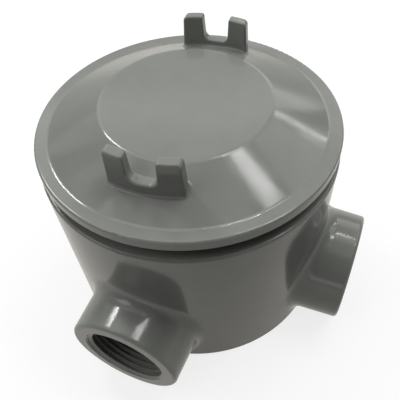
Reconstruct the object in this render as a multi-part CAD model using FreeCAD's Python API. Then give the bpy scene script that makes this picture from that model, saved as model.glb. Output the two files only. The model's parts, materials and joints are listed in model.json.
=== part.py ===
"""Round surface conduit body with two threaded hubs and a screw-on cover.

Frame: origin at the centre of the flat base, +Z up, millimetres.
One hub points along -Y, the other along +X, and both sit flush with the base.
The cover screws into the mouth of the body on a parallel thread and squeezes an O-ring.
Threads are plain cylinders here, each at the root of its turns, which fill the gap between them.
"""
import FreeCAD, Part
import math
import os

from FreeCAD import Vector

os.makedirs("parts", exist_ok=True)

# Body casting
body_r = 46.9                 # at the rim
body_draft = 0.6              # how much narrower the drum is at its base
body_height = 61.6            # base to rim
rim_wall = 7.15               # wall round the threaded mouth
rim_round = 0.8
base_chamfer = 0.8
floor_t = 5.0
chamber_relief = 1.15         # how much wider the chamber is than the mouth, in radius
chamber_floor_bevel = 4.0
neck_overrun = 3.2            # threaded neck below the end of the cover's spigot
mouth_chamfer = 0.7

# Hubs, part of the body casting
hub_angles = (-90.0, 0.0)
hub_wall = 5.0                # at the mouth
hub_draft = 0.4               # how much wider the hub is where it meets the drum
hub_stand_out = 11.9          # from the drum's wall at the rim to the mouth face
hub_base_cut = 0.1            # how deep the base plane cuts into the hub's round
hub_lip_round = 1.2
hub_root_round = 4.5
pipe_thread_r = 13.22         # G 3/4, root of the female thread
pipe_thread_depth = 14.5
pipe_chamfer = 0.5
bushing_r = 10.5              # smooth integral bushing behind the thread
bushing_flare = 1.2

# Cover casting
flange_setback = 0.4          # inside the drum's rim
flange_t = 3.5
flange_top_round = 0.7
flange_under_chamfer = 0.4
flange_land = 4.1             # flat ring between the flange's edge and the cone
cone_run = 16.6               # from the cone's foot in to the disc
cone_foot_round = 2.0
dome_rise = 7.05              # flange top to disc top
disc_round = 3.0
cover_wall = 4.5
spigot_length = 15.0          # below the flange
spigot_wall = 5.0
spigot_chamfer = 0.8
cover_thread_space = 0.75     # radial room that the turns of both pieces share
pilot_depth = 1.6             # plain collar above the thread, below the rim
pilot_clearance = 0.1

# Ears on the cover, for a bar or a wrench
ear_angles = (-84.5, 95.5)
ear_setback = 7.6             # from the cone's foot in to the ear's outer face
ear_t = 3.2
ear_rise = 15.0               # flange top to ear top
ear_foot_half_width = 11.1
ear_taper = 0.7               # how much narrower each side is at the top
ear_corner_round = 1.4
ear_edge_round = 0.6          # all round both faces
ear_foot_round = 1.0
notch_sill = 1.2              # plain strip between the foot's fillet and the notch
notch_half_width = 3.9        # at its bottom
notch_flare = 0.45            # how much wider each side is at the top
notch_round = 2.4
notch_lip_round = 0.8

# O-ring
o_ring_section = 4.1
o_ring_clearance = 0.05

# Ground terminal in the chamber
ground_angle = 135.0
ground_setback = 15.9         # from the chamber's wall in to the screw's axis
boss_r = 5.5
boss_draft = 1.0              # how much wider the boss is at its foot
screw_r = 2.5
screw_length = 8.0
screw_point_chamfer = 0.6
screw_head_r = 4.75
screw_head_t = 3.3
screw_head_bevel = 0.8
screw_slot_w = 1.3
screw_slot_depth = 1.5
screw_clearance = 0.05
screw_point_gap = 1.0         # bottom of the hole below the screw's end
screw_floor_left = 2.1        # metal left between the hole and the base
washer_clearance = 0.2
washer_r = 6.2
washer_t = 1.1
washer_dish = 0.6             # rise of the cupped edge
washer_dish_w = 1.4

# Places that follow from the sizes above
body_base_r = body_r - body_draft
mouth_r = body_r - rim_wall
chamber_r = mouth_r + chamber_relief
hub_r = pipe_thread_r + hub_wall
hub_reach = body_r + hub_stand_out
hub_axis_z = hub_r - hub_base_cut
hub_start = math.sqrt(chamber_r ** 2 - hub_r ** 2)
flange_under_z = body_height + o_ring_section + 2 * o_ring_clearance
flange_top_z = flange_under_z + flange_t
flange_r = body_r - flange_setback
cone_foot_r = flange_r - flange_land
disc_r = cone_foot_r - cone_run
disc_z = flange_top_z + dome_rise
cone_slope = dome_rise / cone_run
spigot_bottom_z = flange_under_z - spigot_length
cover_thread_r = mouth_r - cover_thread_space
spigot_inner_r = cover_thread_r - spigot_wall
pilot_r = mouth_r - pilot_clearance
pilot_z = body_height - pilot_depth
ear_outer_r = cone_foot_r - ear_setback
ear_inner_r = ear_outer_r - ear_t
ear_top_z = flange_top_z + ear_rise
ear_foot_z = flange_top_z + ear_setback * cone_slope - cover_wall / 2
ground_r = chamber_r - ground_setback
screw_hole_depth = screw_length - washer_t + screw_point_gap
boss_top_z = screw_floor_left + screw_hole_depth

UP = Vector(0, 0, 1)
ORIGIN = Vector(0, 0, 0)
TOLERANCE = 0.02              # when an edge is picked by its place


def rounded_wire(corners):
    """Closed wire in the XZ plane from (x, z, corner radius) triples."""
    points = [Vector(x, 0, z) for x, z, _ in corners]
    outline = []
    ends = []
    for index, (_, _, radius) in enumerate(corners):
        corner = points[index]
        if radius <= 0:
            ends.append((corner, corner))
            continue
        to_last = (points[index - 1] - corner).normalize()
        to_next = (points[(index + 1) % len(points)] - corner).normalize()
        half_angle = to_last.getAngle(to_next) / 2
        reach = radius / math.tan(half_angle)
        middle = corner + (to_last + to_next).normalize() * (radius / math.sin(half_angle) - radius)
        ends.append((corner + to_last * reach, corner + to_next * reach))
        outline.append(Part.Arc(ends[-1][0], middle, ends[-1][1]).toShape())
    for index, (_, leaving) in enumerate(ends):
        arriving = ends[(index + 1) % len(ends)][0]
        outline.append(Part.makeLine(leaving, arriving))
    return Part.Wire(Part.__sortEdges__(outline))


def turned(corners):
    """Solid of revolution about Z from a rounded (radius, height) outline."""
    return Part.makeSolid(Part.Face(rounded_wire(corners)).revolve(ORIGIN, UP, 360))


def turned_along_hub(corners, angle):
    """Solid of revolution about a hub's axis, from (radius, distance from the body axis)."""
    solid = turned(corners)
    solid.rotate(ORIGIN, Vector(0, 1, 0), 90)
    solid.rotate(ORIGIN, UP, angle)
    solid.translate(Vector(0, 0, hub_axis_z))
    return solid


def at_ground_screw(shape):
    """The shape, moved from the body axis to the ground screw's axis."""
    shape.translate(Vector(ground_r, 0, 0))
    shape.rotate(ORIGIN, UP, ground_angle)
    return shape


def hub_blank(angle):
    """One solid hub, drafted and with its rounded lip, from inside the wall to the mouth face."""
    slope = hub_draft / hub_stand_out
    start_r = hub_r + slope * (hub_reach - hub_start)
    return turned_along_hub([(0, hub_start, 0), (start_r, hub_start, 0),
                             (hub_r, hub_reach, hub_lip_round), (0, hub_reach, 0)], angle)


def hub_way(angle):
    """Space inside one hub: chamfered thread bore, then the bushing that flares inwards."""
    thread_end = hub_reach - pipe_thread_depth
    flare_start = math.sqrt(chamber_r ** 2 - bushing_r ** 2)
    flare_r = bushing_r + bushing_flare
    chamfer_r = pipe_thread_r + pipe_chamfer
    return turned_along_hub([(0, hub_start, 0), (flare_r, hub_start, 0), (flare_r, flare_start, 0),
                             (bushing_r, flare_start + bushing_flare, 0), (bushing_r, thread_end, 0),
                             (pipe_thread_r, thread_end, 0), (pipe_thread_r, hub_reach - pipe_chamfer, 0),
                             (chamfer_r, hub_reach, 0), (0, hub_reach, 0)], angle)


def is_hub_root(edge):
    """True for an edge where a hub meets the drum, the only curves that aren't lines or circles."""
    return edge.Curve.TypeId not in ("Part::GeomLine", "Part::GeomCircle")


def base_bevel():
    """Ring that takes off the drum's bottom edge and stops at the hubs."""
    outer_r = body_r + base_chamfer
    top_z = base_chamfer + outer_r - body_base_r
    ring = turned([(body_base_r - base_chamfer, 0, 0), (outer_r, 0, 0), (outer_r, top_z, 0)])
    return ring.cut([hub_blank(angle) for angle in hub_angles])


def body_shell():
    """Outside of the casting: drafted drum with both hubs blended into its wall."""
    overrun = hub_r
    low_r = body_base_r - body_draft * overrun / body_height
    drum = turned([(0, -overrun, 0), (low_r, -overrun, 0), (body_r, body_height, rim_round),
                   (0, body_height, 0)])
    shell = drum.fuse([hub_blank(angle) for angle in hub_angles])
    shell = shell.makeFillet(hub_root_round, [edge for edge in shell.Edges if is_hub_root(edge)])
    below = Part.makeBox(4 * hub_reach, 4 * hub_reach, 2 * overrun,
                         Vector(-2 * hub_reach, -2 * hub_reach, -2 * overrun))
    return shell.cut(below).cut(base_bevel())


def chamber():
    """Space inside the drum: wide chamber, shoulder, threaded neck and mouth."""
    neck_bottom = spigot_bottom_z - neck_overrun
    return turned([(0, floor_t, 0), (chamber_r - chamber_floor_bevel, floor_t, 0),
                   (chamber_r, floor_t + chamber_floor_bevel, 0),
                   (chamber_r, neck_bottom - chamber_relief, 0), (mouth_r, neck_bottom, 0),
                   (mouth_r, body_height - mouth_chamfer, 0),
                   (mouth_r + mouth_chamfer, body_height, 0), (0, body_height, 0)])


def ground_boss():
    """Drafted boss on the floor for the ground screw."""
    foot_r = boss_r + boss_draft
    return at_ground_screw(turned([(0, floor_t / 2, 0), (foot_r, floor_t / 2, 0), (foot_r, floor_t, 0),
                                   (boss_r, boss_top_z, 0), (0, boss_top_z, 0)]))


def ground_hole():
    """Blind tapped hole in the boss."""
    start = Vector(0, 0, boss_top_z - screw_hole_depth)
    return at_ground_screw(Part.makeCylinder(screw_r + screw_clearance, screw_hole_depth, start))


def body_casting():
    """Drum, both hubs and the ground boss, cast in one piece."""
    casting = body_shell().cut([chamber()] + [hub_way(angle) for angle in hub_angles])
    return casting.fuse(ground_boss()).cut(ground_hole()).removeSplitter()


def cone_z(radius):
    """Height of the cover's cone at a radius."""
    return flange_top_z + (cone_foot_r - radius) * cone_slope


def ear_outline():
    """Face of an ear with its notch as seen from outside, in the XZ plane."""
    half_width = ear_foot_half_width - ear_taper
    notch_top = notch_half_width + notch_flare
    notch_z = cone_z(ear_inner_r) + ear_foot_round + notch_sill
    return Part.Face(rounded_wire([(-ear_foot_half_width, ear_foot_z, 0),
                                   (ear_foot_half_width, ear_foot_z, 0),
                                   (half_width, ear_top_z, ear_corner_round),
                                   (notch_top, ear_top_z, notch_lip_round),
                                   (notch_half_width, notch_z, notch_round),
                                   (-notch_half_width, notch_z, notch_round),
                                   (-notch_top, ear_top_z, notch_lip_round),
                                   (-half_width, ear_top_z, ear_corner_round)]))


def is_ear_rim(edge):
    """True for an edge round an ear's outer or inner face, apart from the one at its foot."""
    radii = [math.hypot(vertex.X, vertex.Y) for vertex in edge.Vertexes]
    highest = max(vertex.Z for vertex in edge.Vertexes)
    return abs(radii[0] - radii[-1]) < TOLERANCE and highest > ear_foot_z + TOLERANCE


def ear(angle):
    """One upright ear: a curved plate with a notch, tapered and round-cornered."""
    outwards = Vector(0, -2 * ear_outer_r, 0)
    profile = ear_outline().extrude(outwards)
    foot = Vector(0, 0, ear_foot_z)
    height = ear_top_z - ear_foot_z
    wall = Part.makeCylinder(ear_outer_r, height, foot).cut(Part.makeCylinder(ear_inner_r, height, foot))
    plate = wall.common(profile)
    plate = plate.makeFillet(ear_edge_round, [edge for edge in plate.Edges if is_ear_rim(edge)])
    plate.rotate(ORIGIN, UP, angle + 90)
    return plate


def cover_blank():
    """Turned form of the cover: flange, cone, disc, hollow underside and threaded spigot."""
    inner_disc_z = disc_z - cover_wall
    inner_foot_z = cone_z(spigot_inner_r) - cover_wall
    return turned([(0, inner_disc_z, 0), (disc_r, inner_disc_z, 0),
                   (spigot_inner_r, inner_foot_z, 0), (spigot_inner_r, spigot_bottom_z, 0),
                   (cover_thread_r - spigot_chamfer, spigot_bottom_z, 0),
                   (cover_thread_r, spigot_bottom_z + spigot_chamfer, 0),
                   (cover_thread_r, pilot_z - pilot_r + cover_thread_r, 0), (pilot_r, pilot_z, 0),
                   (pilot_r, flange_under_z, 0), (flange_r - flange_under_chamfer, flange_under_z, 0),
                   (flange_r, flange_under_z + flange_under_chamfer, 0),
                   (flange_r, flange_top_z, flange_top_round), (cone_foot_r, flange_top_z, cone_foot_round),
                   (disc_r, disc_z, disc_round), (0, disc_z, 0)])


def is_ear_foot(edge):
    """True for an edge where an ear stands on the cone."""
    middle = edge.valueAt((edge.FirstParameter + edge.LastParameter) / 2)
    radius = math.hypot(middle.x, middle.y)
    on_cone = abs(middle.z - cone_z(radius)) < TOLERANCE
    return on_cone and ear_inner_r - TOLERANCE < radius < ear_outer_r + TOLERANCE


def cover_casting():
    """Cover with both ears, cast in one piece."""
    cover = cover_blank().fuse([ear(angle) for angle in ear_angles])
    feet = [edge for edge in cover.Edges if is_ear_foot(edge)]
    return cover.makeFillet(ear_foot_round, feet).removeSplitter()


def cover_o_ring():
    """Rubber ring round the cover's pilot, between its flange and the body's rim."""
    section_r = o_ring_section / 2
    centre_r = pilot_r + o_ring_clearance + section_r
    centre_z = body_height + o_ring_clearance + section_r
    return Part.makeTorus(centre_r, section_r, Vector(0, 0, centre_z))


def ground_screw():
    """Slotted cheese-head screw that clamps the ground wire."""
    head_z = boss_top_z + washer_t
    top_z = head_z + screw_head_t
    point_z = head_z - screw_length
    screw = turned([(0, point_z, 0), (screw_r - screw_point_chamfer, point_z, 0),
                    (screw_r, point_z + screw_point_chamfer, 0), (screw_r, head_z, 0),
                    (screw_head_r, head_z, 0), (screw_head_r, top_z - screw_head_bevel, 0),
                    (screw_head_r - screw_head_bevel, top_z, 0), (0, top_z, 0)])
    slot = Part.makeBox(2 * screw_head_r, screw_slot_w, screw_slot_depth,
                        Vector(-screw_head_r, -screw_slot_w / 2, top_z - screw_slot_depth))
    return at_ground_screw(screw.cut(slot))


def ground_washer():
    """Cupped washer under the screw's head, its edge turned up to trap the wire."""
    hole_r = screw_r + washer_clearance
    dish_r = washer_r - washer_dish_w
    top_z = boss_top_z + washer_t
    return at_ground_screw(turned([(hole_r, boss_top_z, 0), (dish_r, boss_top_z, 0),
                                   (washer_r, boss_top_z + washer_dish, 0),
                                   (washer_r, top_z + washer_dish, 0), (dish_r, top_z, 0),
                                   (hole_r, top_z, 0)]))


pieces = {
    "body_casting": body_casting,
    "cover_casting": cover_casting,
    "cover_o_ring": cover_o_ring,
    "ground_screw": ground_screw,
    "ground_washer": ground_washer,
}
for name, make in pieces.items():
    solids = make().Solids
    assert len(solids) == 1 and solids[0].isValid(), name + " isn't one valid solid"
    solids[0].exportStep("parts/" + name + ".step")
    print(name, round(solids[0].Volume / 1000, 2), "cm3")
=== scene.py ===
"""Looks of a round conduit body with a screw-on cover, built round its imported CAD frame.

The castings, the O-ring and the ground screw come from the frame and get their finishes here.
The threads are new pieces: the solids leave room for the turns, and Geometry Nodes wind them in.
"""
import json
import logging
import math
from dataclasses import dataclass, field
from enum import Enum

import bpy
from mathutils import Matrix, Vector


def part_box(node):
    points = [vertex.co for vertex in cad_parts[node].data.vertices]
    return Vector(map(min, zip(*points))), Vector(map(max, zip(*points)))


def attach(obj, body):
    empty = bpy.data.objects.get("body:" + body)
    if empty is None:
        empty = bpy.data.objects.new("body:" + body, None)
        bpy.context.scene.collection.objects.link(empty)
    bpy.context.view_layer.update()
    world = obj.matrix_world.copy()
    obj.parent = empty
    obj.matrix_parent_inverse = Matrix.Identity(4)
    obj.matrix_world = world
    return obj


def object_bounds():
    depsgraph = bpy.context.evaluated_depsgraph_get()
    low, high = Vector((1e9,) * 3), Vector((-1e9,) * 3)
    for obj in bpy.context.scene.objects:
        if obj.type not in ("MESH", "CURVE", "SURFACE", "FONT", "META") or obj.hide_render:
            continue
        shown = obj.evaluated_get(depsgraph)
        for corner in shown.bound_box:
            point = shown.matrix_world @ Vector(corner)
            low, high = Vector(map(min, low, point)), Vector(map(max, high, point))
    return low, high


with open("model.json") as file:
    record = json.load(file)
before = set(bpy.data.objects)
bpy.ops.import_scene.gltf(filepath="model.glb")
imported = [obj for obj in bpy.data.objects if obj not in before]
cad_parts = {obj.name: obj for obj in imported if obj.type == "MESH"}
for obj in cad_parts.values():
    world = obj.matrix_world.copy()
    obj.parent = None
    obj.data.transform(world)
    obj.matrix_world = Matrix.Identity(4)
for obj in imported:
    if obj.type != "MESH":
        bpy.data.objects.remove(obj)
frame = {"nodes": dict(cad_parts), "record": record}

MM = 0.001
LOG = logging.getLogger("conduit_body")
CAD_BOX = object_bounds()
SHARP_ANGLE = math.radians(30.0)
MERGE_REACH = 0.001 * MM
NOISE_BAND = (0.3, 0.7)  # where most of a noise pattern lies
WAVE_RADIANS = 20.0  # phase that a wave texture of scale 1 turns through in a metre
MIX_FLOATS, MIX_COLOURS, MIX_COLOUR_OUT = (2, 3), (6, 7), 2  # sockets of a Mix node that share a name


class Side(Enum):
    """Which way a thread's ridge stands from its wall."""

    OUTWARD = 1.0
    INWARD = -1.0


class Node(Enum):
    """The solids of the frame."""

    BODY = "body_casting"
    COVER = "cover_casting"
    O_RING = "cover_o_ring"
    SCREW = "ground_screw"
    WASHER = "ground_washer"


def node_object(node: Node) -> bpy.types.Object:
    """Object of one solid of the frame."""
    return frame["nodes"][node.value]


def add_object(name: str, data: bpy.types.ID) -> bpy.types.Object:
    """Puts a new object into the scene.

    Args:
        name: Name of the object.
        data: Its mesh, lamp or camera.

    Returns:
        The object.
    """
    obj = bpy.data.objects.new(name, data)
    bpy.context.scene.collection.objects.link(obj)
    return obj


def mount(name: str) -> dict:
    """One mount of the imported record.

    Args:
        name: The mount's name.

    Returns:
        The record's row for it.
    """
    return next(row for row in frame["record"]["mounts"] if row["name"] == name)


def wall_radius(node: Node, low_z: float, high_z: float, side: Side) -> float:
    """Radius of a turned wall about Z, read from a solid's own mesh.

    Args:
        node: The solid.
        low_z: Bottom of the band that is read, in metres.
        high_z: Top of the band.
        side: OUTWARD reads an outside wall, INWARD the wall of a hole.

    Returns:
        The wall's radius in metres.
    """
    band = [v.co.xy.length for v in node_object(node).data.vertices if low_z < v.co.z < high_z]
    return max(band) if side is Side.OUTWARD else min(band)


# ---------------------------------------------------------------------------------------------
# Finishes
# ---------------------------------------------------------------------------------------------


class NodeSheet:
    """Short hand for laying out the nodes of one material."""

    def __init__(self, name: str) -> None:
        """Starts an empty material.

        Args:
            name: Name of the material.
        """
        self.material = bpy.data.materials.new(name)
        self.material.use_nodes = True
        self.tree = self.material.node_tree
        self.tree.nodes.clear()
        self.output = self.tree.nodes.new("ShaderNodeOutputMaterial")

    def add(self, kind: str, settings: dict | None = None, **inputs: object) -> bpy.types.Node:
        """Adds a node.

        Args:
            kind: Type name of the node.
            settings: Properties of the node itself.
            inputs: Values or sockets for its inputs, their names written with underscores.

        Returns:
            The new node.
        """
        node = self.tree.nodes.new(kind)
        for key, value in (settings or {}).items():
            setattr(node, key, value)
        for key, value in inputs.items():
            self.feed(node, key.replace("_", " "), value)
        return node

    def feed(self, node: bpy.types.Node, socket: str | int, value: object) -> None:
        """Sets one input of a node, or links it.

        Args:
            node: The node.
            socket: The input's name or number.
            value: A value, or the socket that it is linked from.
        """
        if isinstance(value, bpy.types.NodeSocket):
            self.tree.links.new(value, node.inputs[socket])
        else:
            node.inputs[socket].default_value = value

    def noise(self, place: bpy.types.NodeSocket, size: float, detail: float = 2.0,
              roughness: float = 0.5) -> bpy.types.NodeSocket:
        """Noise pattern on the surface.

        Args:
            place: Coordinates that it reads.
            size: Width of its blotches in metres.
            detail: Octaves of finer noise on top.
            roughness: How strong the finer noise is.

        Returns:
            The factor socket.
        """
        node = self.add("ShaderNodeTexNoise", Vector=place, Scale=1.0 / size, Detail=detail,
                        Roughness=roughness)
        return node.outputs[0]

    def place(self) -> bpy.types.NodeSocket:
        """Coordinates of the surface on its own object."""
        return self.add("ShaderNodeTexCoord").outputs["Object"]

    def remap(self, value: bpy.types.NodeSocket, band: tuple[float, float], to_low: object,
              to_high: object) -> bpy.types.NodeSocket:
        """Maps a value from one range to another, clamped.

        Args:
            value: The value.
            band: Low and high end of the range that it comes from.
            to_low: What the low end becomes, a number or a socket.
            to_high: What the high end becomes.

        Returns:
            The mapped value.
        """
        node = self.add("ShaderNodeMapRange", Value=value, From_Min=band[0], From_Max=band[1],
                        To_Min=to_low, To_Max=to_high)
        return node.outputs[0]

    def mix_colours(self, factor: object, first: object, second: object,
                    blend: str = "MIX") -> bpy.types.NodeSocket:
        """Mixes two colours.

        Args:
            factor: Share of the second colour.
            first: First colour, a value or a socket.
            second: Second colour.
            blend: How the second is laid on the first.

        Returns:
            The mixed colour.
        """
        node = self.add("ShaderNodeMix", {"data_type": "RGBA", "blend_type": blend})
        self.feed(node, 0, factor)
        for socket, value in zip(MIX_COLOURS, (first, second)):
            self.feed(node, socket, value)
        return node.outputs[MIX_COLOUR_OUT]

    def done(self, surface: bpy.types.Node) -> bpy.types.Material:
        """Ends the material.

        Args:
            surface: The shader that it shows.

        Returns:
            The material.
        """
        self.feed(self.output, 0, surface.outputs[0])
        return self.material

    def bump(self, height: bpy.types.NodeSocket, depth: float,
             normal: bpy.types.NodeSocket | None = None) -> bpy.types.NodeSocket:
        """Bump from a height pattern.

        Args:
            height: Pattern from 0 to 1.
            depth: What 1 stands for, in metres.
            normal: Bump that this one lies on.

        Returns:
            The normal socket.
        """
        node = self.add("ShaderNodeBump", Strength=1.0, Distance=depth, Height=height)
        if normal is not None:
            self.feed(node, "Normal", normal)
        return node.outputs[0]


@dataclass(frozen=True)
class Enamel:
    """Semi-gloss enamel on an aluminium casting."""

    name: str = "grey_enamel"
    colour: tuple[float, float, float] = (0.247, 0.257, 0.234)
    ior: float = 1.5
    roughness: float = 0.13
    glossier: float = 0.03
    duller: float = 0.04
    gloss_size: float = 5.0 * MM
    blotch_size: float = 14.0 * MM
    blotch_share: float = 0.04
    peel_size: float = 1.6 * MM
    peel_depth: float = 0.006 * MM
    cast_size: float = 11.0 * MM
    cast_depth: float = 0.05 * MM

    def material(self) -> bpy.types.Material:
        """Material with orange peel, the casting's unevenness and faint blotches."""
        sheet = NodeSheet(self.name)
        place = sheet.place()
        blotch = sheet.noise(place, self.blotch_size, detail=3.0, roughness=0.6)
        tone = sheet.remap(blotch, NOISE_BAND, 1.0 - self.blotch_share, 1.0 + self.blotch_share)
        tint = sheet.add("ShaderNodeCombineColor", Red=tone, Green=tone, Blue=tone)
        colour = sheet.mix_colours(1.0, (*self.colour, 1.0), tint.outputs[0], "MULTIPLY")
        cast = sheet.bump(sheet.noise(place, self.cast_size, detail=1.5), self.cast_depth)
        peel = sheet.bump(sheet.noise(place, self.peel_size, detail=1.0), self.peel_depth, cast)
        rough = sheet.remap(sheet.noise(place, self.gloss_size, detail=3.0), NOISE_BAND,
                            self.roughness - self.glossier, self.roughness + self.duller)
        return sheet.done(sheet.add("ShaderNodeBsdfPrincipled", Base_Color=colour, Roughness=rough,
                                    Normal=peel, IOR=self.ior))


@dataclass(frozen=True)
class Rubber:
    """Black rubber of the O-ring."""

    name: str = "black_rubber"
    colour: tuple[float, float, float] = (0.012, 0.012, 0.012)
    grain_size: float = 0.35 * MM
    grain_depth: float = 0.01 * MM
    grease_size: float = 4.0 * MM
    grease_band: tuple[float, float] = (0.35, 0.65)
    roughness: tuple[float, float] = (0.38, 0.6)

    def material(self) -> bpy.types.Material:
        """Dull black with a fine moulded grain and faint grease."""
        sheet = NodeSheet(self.name)
        place = sheet.place()
        grain = sheet.bump(sheet.noise(place, self.grain_size), self.grain_depth)
        grease = sheet.noise(place, self.grease_size, detail=3.0)
        rough = sheet.remap(grease, self.grease_band, *self.roughness)
        return sheet.done(sheet.add("ShaderNodeBsdfPrincipled", Base_Color=(*self.colour, 1.0),
                                    Roughness=rough, Normal=grain))


@dataclass(frozen=True)
class TurnedMetal:
    """Bare metal with the fine rings that a lathe leaves about an upright axis."""

    name: str
    colour: tuple[float, float, float]
    axis: tuple[float, float]
    roughness: float = 0.3
    glossier: float = 0.06
    duller: float = 0.1
    patch_size: float = 1.5 * MM
    radian_length: float = 0.12 * MM  # the rings stand two pi of these apart, about 0.75 mm
    ring_depth: float = 0.003 * MM
    ring_wobble: float = 0.4

    def material(self) -> bpy.types.Material:
        """Metal whose rings are centred on the piece's own axis."""
        sheet = NodeSheet(self.name)
        place = sheet.place()
        moved = sheet.add("ShaderNodeMapping", Vector=place,
                          Location=(-self.axis[0], -self.axis[1], 0.0))
        rings = sheet.add("ShaderNodeTexWave", {"wave_type": "RINGS", "rings_direction": "Z"},
                          Vector=moved.outputs[0], Scale=1.0 / (WAVE_RADIANS * self.radian_length),
                          Distortion=self.ring_wobble, Detail=2.0)
        turned = sheet.bump(rings.outputs["Fac"], self.ring_depth)
        rough = sheet.remap(sheet.noise(place, self.patch_size, detail=3.0), NOISE_BAND,
                            self.roughness - self.glossier, self.roughness + self.duller)
        return sheet.done(sheet.add("ShaderNodeBsdfPrincipled", Base_Color=(*self.colour, 1.0),
                                    Metallic=1.0, Roughness=rough, Normal=turned))


@dataclass(frozen=True)
class Backdrop:
    """Pale floor: near white to the camera with the object's shadow, a little duller in reflections."""

    name: str = "studio_floor"
    bounce: float = 0.2
    shadow_share: float = 0.25
    glow: float = 0.8
    mirrored_glow: float = 0.58
    mirrored_tint: tuple[float, float, float] = (1.0, 0.96, 0.88)
    shadow_reach: float = 0.15
    white_reach: float = 0.5

    def material(self) -> bpy.types.Material:
        """Floor that bounces little light back but looks pale."""
        sheet = NodeSheet(self.name)
        path = sheet.add("ShaderNodeLightPath")
        camera = path.outputs["Is Camera Ray"]
        seen = camera
        for other in ("Is Glossy Ray", "Is Transmission Ray"):
            seen = sheet.add("ShaderNodeMath", {"operation": "MAXIMUM"}, Value=seen).outputs[0]
            sheet.feed(seen.node, 1, path.outputs[other])
        dull = sheet.add("ShaderNodeBsdfDiffuse", Color=(self.bounce,) * 3 + (1.0,))
        catcher = sheet.add("ShaderNodeBsdfDiffuse", Color=(self.shadow_share,) * 3 + (1.0,))
        away = sheet.add("ShaderNodeVectorMath", {"operation": "LENGTH"}, Vector=sheet.place())
        near_glow = sheet.remap(away.outputs["Value"], (self.shadow_reach, self.white_reach),
                                self.glow, 1.0)
        strength = sheet.remap(camera, (0.0, 1.0), self.mirrored_glow, near_glow)
        tint = sheet.mix_colours(camera, (*self.mirrored_tint, 1.0), (1.0, 1.0, 1.0, 1.0))
        glow = sheet.add("ShaderNodeEmission", Color=tint, Strength=strength)
        pale = sheet.add("ShaderNodeAddShader")
        sheet.feed(pale, 0, catcher.outputs[0])
        sheet.feed(pale, 1, glow.outputs[0])
        mix = sheet.add("ShaderNodeMixShader")
        for socket, value in enumerate((seen, dull.outputs[0], pale.outputs[0])):
            sheet.feed(mix, socket, value)
        return sheet.done(mix)


def paint(obj: bpy.types.Object, material: bpy.types.Material) -> None:
    """Gives an object one material.

    Args:
        obj: The object.
        material: Its only material from now on.
    """
    obj.data.materials.clear()
    obj.data.materials.append(material)


# ---------------------------------------------------------------------------------------------
# Threads
# ---------------------------------------------------------------------------------------------


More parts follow.
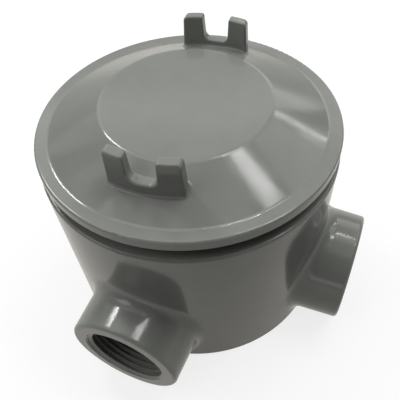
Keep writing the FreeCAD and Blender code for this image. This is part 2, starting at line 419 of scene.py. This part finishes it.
class ThreadTree:
    """Geometry Nodes tree that winds one closed ridge about Z."""

    INPUTS = (
        ("Root Radius", "NodeSocketFloat"),
        ("Crest Rise", "NodeSocketFloat"),
        ("Start Height", "NodeSocketFloat"),
        ("Pitch", "NodeSocketFloat"),
        ("Turns", "NodeSocketFloat"),
        ("Fade Turns", "NodeSocketFloat"),
        ("Root Width", "NodeSocketFloat"),
        ("Crest Width", "NodeSocketFloat"),
        ("Steps", "NodeSocketInt"),
        ("Material", "NodeSocketMaterial"),
    )
    PROFILE_CORNERS = 4

    def __init__(self) -> None:
        """Builds the tree."""
        self.tree = bpy.data.node_groups.new("wound_thread", "GeometryNodeTree")
        self.sockets = {name: self.tree.interface.new_socket(name, in_out="INPUT", socket_type=kind)
                        for name, kind in self.INPUTS}
        self.tree.interface.new_socket("Geometry", in_out="OUTPUT", socket_type="NodeSocketGeometry")
        self.given = self.tree.nodes.new("NodeGroupInput")
        self.build()

    def math(self, operation: str, *values: object) -> bpy.types.NodeSocket:
        """Adds a Math node.

        Args:
            operation: What it does.
            values: Numbers or sockets, in order.

        Returns:
            Its result.
        """
        node = self.tree.nodes.new("ShaderNodeMath")
        node.operation = operation
        for index, value in enumerate(values):
            if isinstance(value, bpy.types.NodeSocket):
                self.tree.links.new(value, node.inputs[index])
            else:
                node.inputs[index].default_value = value
        return node.outputs[0]

    def build(self) -> None:
        """Lays a strip of grid round the axis: its length winds, its width goes round the profile."""
        given = self.given.outputs
        grid = self.tree.nodes.new("GeometryNodeMeshGrid")
        grid.inputs["Size X"].default_value = 1.0
        grid.inputs["Size Y"].default_value = float(self.PROFILE_CORNERS)
        grid.inputs["Vertices Y"].default_value = self.PROFILE_CORNERS + 1
        self.tree.links.new(given["Steps"], grid.inputs["Vertices X"])
        place = self.tree.nodes.new("ShaderNodeSeparateXYZ")
        self.tree.links.new(self.tree.nodes.new("GeometryNodeInputPosition").outputs[0], place.inputs[0])
        along = self.math("ADD", place.outputs[0], 0.5)
        corner = self.math("ROUND", self.math("ADD", place.outputs[1], self.PROFILE_CORNERS / 2))
        corner = self.math("FLOORED_MODULO", corner, float(self.PROFILE_CORNERS))

        turn = self.math("MULTIPLY", along, given["Turns"])
        from_end = self.math("MINIMUM", turn, self.math("SUBTRACT", given["Turns"], turn))
        full = self.math("MINIMUM", self.math("DIVIDE", from_end, given["Fade Turns"]), 1.0)

        from_middle = self.math("SUBTRACT", corner, (self.PROFILE_CORNERS - 1) / 2)
        at_crest = self.math("LESS_THAN", self.math("ABSOLUTE", from_middle), 1.0)
        rise = self.math("MULTIPLY", self.math("MULTIPLY", at_crest, given["Crest Rise"]), full)
        radius = self.math("ADD", given["Root Radius"], rise)

        widening = self.math("SUBTRACT", given["Crest Width"], given["Root Width"])
        width = self.math("MULTIPLY_ADD", at_crest, widening, given["Root Width"])
        half_width = self.math("MULTIPLY", self.math("MULTIPLY", width, 0.5), full)
        offset = self.math("MULTIPLY", half_width, self.math("SIGN", from_middle))

        angle = self.math("MULTIPLY", turn, 2 * math.pi)
        height = self.math("MULTIPLY_ADD", turn, given["Pitch"], given["Start Height"])
        wound = self.tree.nodes.new("ShaderNodeCombineXYZ")
        self.tree.links.new(self.math("MULTIPLY", radius, self.math("COSINE", angle)), wound.inputs[0])
        self.tree.links.new(self.math("MULTIPLY", radius, self.math("SINE", angle)), wound.inputs[1])
        self.tree.links.new(self.math("ADD", height, offset), wound.inputs[2])
        self.finish(grid.outputs["Mesh"], wound.outputs[0])

    def finish(self, mesh: bpy.types.NodeSocket, position: bpy.types.NodeSocket) -> None:
        """Moves the grid into place, closes it and gives it its material.

        Args:
            mesh: The flat grid.
            position: Where each of its points goes.
        """
        links = self.tree.links
        move = self.tree.nodes.new("GeometryNodeSetPosition")
        links.new(mesh, move.inputs["Geometry"])
        links.new(position, move.inputs["Position"])
        close = self.tree.nodes.new("GeometryNodeMergeByDistance")
        close.inputs["Distance"].default_value = MERGE_REACH
        links.new(move.outputs[0], close.inputs["Geometry"])
        plain = self.tree.nodes.new("GeometryNodeRealizeInstances")
        links.new(close.outputs[0], plain.inputs["Geometry"])
        dress = self.tree.nodes.new("GeometryNodeSetMaterial")
        links.new(plain.outputs[0], dress.inputs["Geometry"])
        links.new(self.given.outputs["Material"], dress.inputs["Material"])
        out = self.tree.nodes.new("NodeGroupOutput")
        links.new(dress.outputs[0], out.inputs[0])

    def wind(self, name: str, material: bpy.types.Material, values: dict[str, float]) -> bpy.types.Object:
        """Runs the tree once and keeps the result as a plain mesh.

        Args:
            name: Name of the piece.
            material: Its material.
            values: The tree's other inputs by name.

        Returns:
            The piece, about Z through the origin.
        """
        maker = add_object(name + "_maker", bpy.data.meshes.new(name + "_maker"))
        modifier = maker.modifiers.new("wound_thread", "NODES")
        modifier.node_group = self.tree
        for key, value in {**values, "Material": material}.items():
            modifier[self.sockets[key].identifier] = value
        graph = bpy.context.evaluated_depsgraph_get()
        mesh = bpy.data.meshes.new_from_object(maker.evaluated_get(graph))
        mesh.name = name
        bpy.data.objects.remove(maker)
        return add_object(name, mesh)


@dataclass
class Thread:
    """One right-hand thread ridge on a wall about Z, in metres."""

    name: str
    side: Side
    root_r: float
    rise: float
    pitch: float
    start: float
    end: float
    root_width: float
    crest_width: float
    steps_per_turn: int
    fade_turns: float = 0.5
    sink: float = 0.04 * MM

    def make(self, tree: ThreadTree, material: bpy.types.Material) -> bpy.types.Object:
        """Winds the ridge.

        Args:
            tree: The Geometry Nodes tree.
            material: The ridge's material.

        Returns:
            The ridge about Z, its normals outwards and its edges crisp.
        """
        turns = (self.end - self.start) / self.pitch
        way = self.side.value
        piece = tree.wind(self.name, material, {
            "Root Radius": self.root_r - way * self.sink,
            "Crest Rise": way * (self.rise + self.sink),
            "Start Height": self.start,
            "Pitch": self.pitch,
            "Turns": turns,
            "Fade Turns": self.fade_turns,
            "Root Width": self.root_width,
            "Crest Width": self.crest_width,
            "Steps": int(turns * self.steps_per_turn),
        })
        mesh = piece.data
        if self.side is Side.OUTWARD:
            mesh.flip_normals()
        mesh.shade_smooth()
        mesh.set_sharp_from_angle(angle=SHARP_ANGLE)
        return piece


# ---------------------------------------------------------------------------------------------
# Sub-assemblies
# ---------------------------------------------------------------------------------------------


@dataclass
class PipeThreads:
    """Female pipe threads of the two hubs, G 3/4."""

    tree: ThreadTree
    material: bpy.types.Material
    pitch: float = 1.814 * MM
    rise: float = 1.162 * MM
    root_width: float = 1.62 * MM
    crest_width: float = 0.34 * MM
    run_out: float = 0.4 * MM
    fade_turns: float = 0.35
    steps_per_turn: int = 72
    hubs: tuple[str, ...] = ("front_hub", "side_hub")

    def build(self) -> list[bpy.types.Object]:
        """Winds a ridge in each hub.

        Returns:
            The pieces, riding on the body.
        """
        return [self.hub_thread(hub) for hub in self.hubs]

    def hub_thread(self, hub: str) -> bpy.types.Object:
        """Winds one hub's ridge and lays it along the hub's axis.

        Args:
            hub: Name of the hub's mount.

        Returns:
            The piece.
        """
        row = mount(hub)
        half = row["dims"]["length_mm"] * MM / 2
        thread = Thread(name=hub + "_thread", side=Side.INWARD, root_r=row["dims"]["r_mm"] * MM,
                        rise=self.rise, pitch=self.pitch,
                        start=-half + self.run_out + self.root_width / 2, end=half,
                        root_width=self.root_width, crest_width=self.crest_width,
                        steps_per_turn=self.steps_per_turn, fade_turns=self.fade_turns)
        piece = thread.make(self.tree, self.material)
        turn = Vector(row["axis"]).to_track_quat("Z", "Y").to_matrix().to_4x4()
        piece.data.transform(Matrix.Translation(Vector(row["pos_m"])) @ turn)
        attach(piece, "body")
        LOG.info("%s: %d faces", piece.name, len(piece.data.polygons))
        return piece


@dataclass
class CoverThreads:
    """Parallel thread between the mouth and the cover's spigot, one ridge on each, half a pitch apart."""

    tree: ThreadTree
    material: bpy.types.Material
    pitch: float = 2.0 * MM
    play: float = 0.1 * MM
    root_width: float = 1.5 * MM
    crest_width: float = 0.3 * MM
    end_margin: float = 0.9 * MM
    edge_margin: float = 0.5 * MM
    spigot_band: float = 5.0 * MM
    mouth_band: float = 13.0 * MM
    male_below_rim: float = 2.9 * MM
    female_below_rim: float = 1.6 * MM
    pitches_apart: float = 1.5
    steps_per_turn: int = 160

    def build(self) -> list[bpy.types.Object]:
        """Winds both ridges.

        Returns:
            The mouth's and the cover's thread.
        """
        spigot_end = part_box(Node.COVER.value)[0].z
        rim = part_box(Node.BODY.value)[1].z
        cover_r = wall_radius(Node.COVER, spigot_end + self.edge_margin,
                              spigot_end + self.spigot_band, Side.OUTWARD)
        mouth_r = wall_radius(Node.BODY, rim - self.mouth_band, rim - self.edge_margin, Side.INWARD)
        rise = mouth_r - cover_r - self.play
        male_start = spigot_end + self.end_margin + self.root_width / 2
        profile = (self.root_width, self.crest_width, self.steps_per_turn)
        male = Thread("cover_thread", Side.OUTWARD, cover_r, rise, self.pitch, male_start,
                      rim - self.male_below_rim, *profile)
        female = Thread("mouth_thread", Side.INWARD, mouth_r, rise, self.pitch,
                        male_start - self.pitches_apart * self.pitch, rim - self.female_below_rim,
                        *profile)
        pieces = []
        for thread, body, slot in ((female, "body", "casting_paint"), (male, "cover", "cover_paint")):
            piece = thread.make(self.tree, self.material)
            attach(piece, body)
            LOG.info("%s: %d faces", piece.name, len(piece.data.polygons))
            pieces.append(piece)
        return pieces


@dataclass
class Castings:
    """Body and cover, both cast and enamelled."""

    enamel: Enamel = field(default_factory=Enamel)

    def dress(self) -> bpy.types.Material:
        """Paints both castings.

        Returns:
            The enamel, for the threads cut in them.
        """
        material = self.enamel.material()
        for node in (Node.BODY, Node.COVER):
            paint(node_object(node), material)
            LOG.info("%s: enamelled", node.value)
        return material


@dataclass
class SealRing:
    """O-ring under the cover's flange."""

    rubber: Rubber = field(default_factory=Rubber)

    def dress(self) -> None:
        """Gives the O-ring its rubber."""
        paint(node_object(Node.O_RING), self.rubber.material())
        LOG.info("%s: rubber", Node.O_RING.value)


@dataclass
class GroundTerminal:
    """Ground screw and its cupped washer in the chamber."""

    brass: tuple[float, float, float] = (0.62, 0.44, 0.16)

    def dress(self) -> None:
        """Gives both pieces turned metal, centred on the screw."""
        low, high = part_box(Node.SCREW.value)
        axis = tuple((low + high).xy / 2)
        paint(node_object(Node.SCREW), TurnedMetal("screw_brass", self.brass, axis).material())
        paint(node_object(Node.WASHER), TurnedMetal("washer_brass", self.brass, axis, 0.36).material())
        LOG.info("ground terminal: brass")


# ---------------------------------------------------------------------------------------------
# Studio
# ---------------------------------------------------------------------------------------------


@dataclass
class Softbox:
    """Rectangular lamp that looks at the object: angles in degrees, sizes in metres, power in watts."""

    name: str
    azimuth: float
    elevation: float
    width: float
    height: float
    power: float
    roll: float = 0.0
    distance: float = 1.0

    def place(self, target: Vector) -> bpy.types.Object:
        """Puts the lamp round the object.

        Args:
            target: Point that it looks at.

        Returns:
            The lamp.
        """
        lamp = bpy.data.lights.new(self.name, "AREA")
        lamp.shape = "RECTANGLE"
        lamp.size = self.width
        lamp.size_y = self.height
        lamp.energy = self.power
        obj = add_object(self.name, lamp)
        away = direction(self.azimuth, self.elevation)
        obj.location = target + away * self.distance
        facing = (-away).to_track_quat("-Z", "Y").to_matrix()
        obj.rotation_euler = (facing @ Matrix.Rotation(math.radians(self.roll), 3, "Z")).to_euler()
        return obj


def direction(azimuth: float, elevation: float) -> Vector:
    """Unit vector away from the object.

    Args:
        azimuth: Degrees round Z, 0 towards -Y and 90 towards +X.
        elevation: Degrees above the floor.

    Returns:
        The vector.
    """
    a, e = math.radians(azimuth), math.radians(elevation)
    return Vector((math.sin(a) * math.cos(e), -math.cos(a) * math.cos(e), math.sin(e)))


@dataclass
class Studio:
    """Camera, floor, world and lamps.

    The camera's angles, distance and lens were fitted to the outline of the reference. The broad lamps
    stand where they light it evenly; the last four stand where its sharp highlights mirror from. The
    powers are round figures that began as a least-squares fit to its brightness.
    """

    view_azimuth: float = 27.36
    view_elevation: float = 40.21
    view_distance: float = 147.8 * MM
    view_turn: tuple[float, float, float] = (-0.62, -9.89, -5.13)
    lens: float = 43.0
    sensor_width: float = 36.0
    clip: tuple[float, float] = (0.01, 20.0)
    aim_below_top: float = 15.0 * MM
    floor_size: float = 6.0
    ambient: float = 0.06
    sky_gloss: float = 0.0
    horizon_gloss: float = 0.45
    horizon_top: float = 0.5
    lamps: tuple[Softbox, ...] = (
        Softbox("key", 207.0, 60.0, 1.4, 0.8, 2.2),
        Softbox("low_key", 200.0, 30.0, 1.4, 0.5, 1.3),
        Softbox("left_key", 270.0, 62.0, 0.8, 0.6, 0.6),
        Softbox("right_key", 75.0, 62.0, 0.6, 0.5, 0.2),
        Softbox("top", 207.0, 88.0, 0.8, 0.8, 1.2),
        Softbox("left", 290.0, 30.0, 0.5, 0.6, 0.5),
        Softbox("front_left", 315.0, 45.0, 0.5, 0.5, 1.4),
        Softbox("front_low", 10.0, 8.0, 0.8, 0.15, 0.3),
        Softbox("back", 180.0, 25.0, 0.6, 0.3, 0.6),
        Softbox("back_right", 135.0, 40.0, 0.5, 0.5, 1.2),
        Softbox("back_left", 245.0, 35.0, 0.5, 0.5, 0.4),
        Softbox("wide_streak", 124.0, 64.0, 0.25, 0.14, 1.15, 46.0),
        Softbox("hub_spark", 247.0, 48.0, 0.12, 0.2, 1.6),
        Softbox("narrow_streak", 155.0, 31.0, 0.18, 0.04, 0.22, 23.0),
        Softbox("ridge_line", 173.0, 65.0, 0.22, 0.025, 0.65, 54.0),
    )

    def build(self) -> None:
        """Sets the studio up."""
        self.set_camera()
        self.set_floor()
        self.set_world()
        for lamp in self.lamps:
            lamp.place(Vector((0.0, 0.0, CAD_BOX[1].z / 2)))
        bpy.context.scene.view_settings.view_transform = "Standard"
        LOG.info("studio: %d lamps", len(self.lamps))

    def set_camera(self) -> None:
        """Looks down at the cover from the corner between the hubs."""
        target = Vector((0.0, 0.0, CAD_BOX[1].z - self.aim_below_top))
        back = direction(self.view_azimuth, self.view_elevation)
        right = (-back).cross(Vector((0.0, 0.0, 1.0))).normalized()
        up = right.cross(-back)
        look = Matrix((right, up, back)).transposed()
        for angle, axis in zip(self.view_turn, "YXZ"):
            look = look @ Matrix.Rotation(math.radians(angle), 3, axis)
        data = bpy.data.cameras.new("camera")
        data.lens = self.lens
        data.sensor_width = self.sensor_width
        data.clip_start, data.clip_end = self.clip
        camera = add_object("camera", data)
        camera.matrix_world = Matrix.Translation(target + back * self.view_distance) @ look.to_4x4()
        bpy.context.scene.camera = camera

    def set_floor(self) -> None:
        """Lays the floor under the base."""
        half = self.floor_size / 2
        corners = [(-half, -half), (half, -half), (half, half), (-half, half)]
        mesh = bpy.data.meshes.new("studio_floor")
        mesh.from_pydata([(x, y, CAD_BOX[0].z) for x, y in corners], [], [(0, 1, 2, 3)])
        floor = add_object("studio_floor", mesh)
        paint(floor, Backdrop().material())

    def set_world(self) -> None:
        """White to the camera, a pale band that darkens upwards in reflections, a faint fill for the rest."""
        world = bpy.data.worlds.new("studio_world")
        world.use_nodes = True
        tree = world.node_tree
        tree.nodes.clear()
        path = tree.nodes.new("ShaderNodeLightPath")
        ray = tree.nodes.new("ShaderNodeTexCoord")
        height = tree.nodes.new("ShaderNodeSeparateXYZ")
        tree.links.new(ray.outputs["Generated"], height.inputs[0])
        band = tree.nodes.new("ShaderNodeMapRange")
        band.interpolation_type = "SMOOTHSTEP"
        tree.links.new(height.outputs["Z"], band.inputs["Value"])
        band.inputs["From Max"].default_value = self.horizon_top
        band.inputs["To Min"].default_value = self.horizon_gloss
        band.inputs["To Max"].default_value = self.sky_gloss
        mirrored = self.world_mix(tree, path.outputs["Is Glossy Ray"], self.ambient, band.outputs[0])
        seen = self.world_mix(tree, path.outputs["Is Camera Ray"], mirrored, 1.0)
        background = tree.nodes.new("ShaderNodeBackground")
        background.inputs["Color"].default_value = (1.0, 1.0, 1.0, 1.0)
        tree.links.new(seen, background.inputs["Strength"])
        output = tree.nodes.new("ShaderNodeOutputWorld")
        tree.links.new(background.outputs[0], output.inputs[0])
        bpy.context.scene.world = world

    @staticmethod
    def world_mix(tree: bpy.types.NodeTree, share: bpy.types.NodeSocket,
                  low: float | bpy.types.NodeSocket,
                  high: float | bpy.types.NodeSocket) -> bpy.types.NodeSocket:
        """Picks one of two strengths by kind of ray.

        Args:
            tree: The world's node tree.
            share: 0 for the first strength, 1 for the second.
            low: First strength, a number or a socket.
            high: Second strength.

        Returns:
            The chosen strength.
        """
        mix = tree.nodes.new("ShaderNodeMix")
        tree.links.new(share, mix.inputs[0])
        for index, value in zip(MIX_FLOATS, (low, high)):
            if isinstance(value, bpy.types.NodeSocket):
                tree.links.new(value, mix.inputs[index])
            else:
                mix.inputs[index].default_value = value
        return mix.outputs[0]


def main() -> None:
    """Builds every piece and the studio."""
    logging.basicConfig(level=logging.INFO, format="%(name)s %(message)s")
    enamel = Castings().dress()
    SealRing().dress()
    GroundTerminal().dress()
    tree = ThreadTree()
    PipeThreads(tree, enamel).build()
    CoverThreads(tree, enamel).build()
    Studio().build()


if __name__ == "__main__":
    main()
